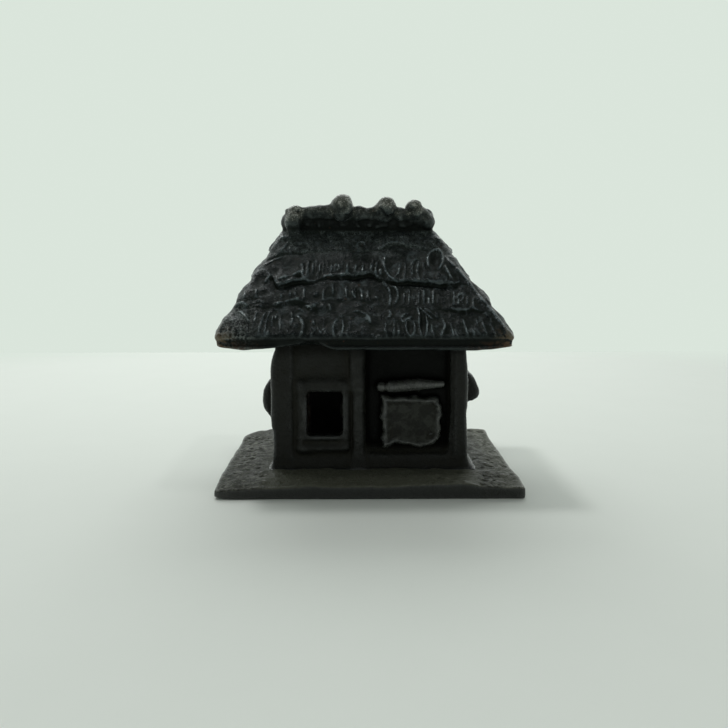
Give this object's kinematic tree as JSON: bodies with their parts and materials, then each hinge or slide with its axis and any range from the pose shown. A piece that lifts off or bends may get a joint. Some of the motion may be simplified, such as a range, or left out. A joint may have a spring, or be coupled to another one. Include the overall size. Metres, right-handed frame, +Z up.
{
  "type": "still bank",
  "caption": "Cast iron still bank shaped as a small thatched farmhouse: coin slot in the rear roof slope, riveted swinging coin trap under the base.",
  "frame": {"origin": "middle of the resting face on the table, at the centre of the base plate's outline", "axes": "+Z up, +X to the right of the house seen from the front, -Y towards the front wall with the window"},
  "size_m": [0.088, 0.067, 0.0884],
  "materials": {
    "dark_cast_iron": "as-cast, darkened, edges burnished by handling",
    "aged_steel": "dulled",
    "blackened_steel": "blackened, scuffed along its swing"
  },
  "bodies": {
    "bank": {"base_plate": "dark_cast_iron", "house_walls": "dark_cast_iron", "roof": "dark_cast_iron", "clamp_screws": "aged_steel", "screw_washers": "aged_steel", "square_nuts": "aged_steel", "trap_rivet": "aged_steel", "rivet_burr": "aged_steel", "spring_washer": "aged_steel"},
    "trap": {"trap_cover": "blackened_steel"}
  },
  "joints": [
    {"name": "trap_swing", "type": "hinge", "parent": "bank", "child": "trap", "pos_m": [0.0075, 0.0105, 0.0016], "axis": [0, 0, 1], "range_deg": [0, 104]}
  ]
}
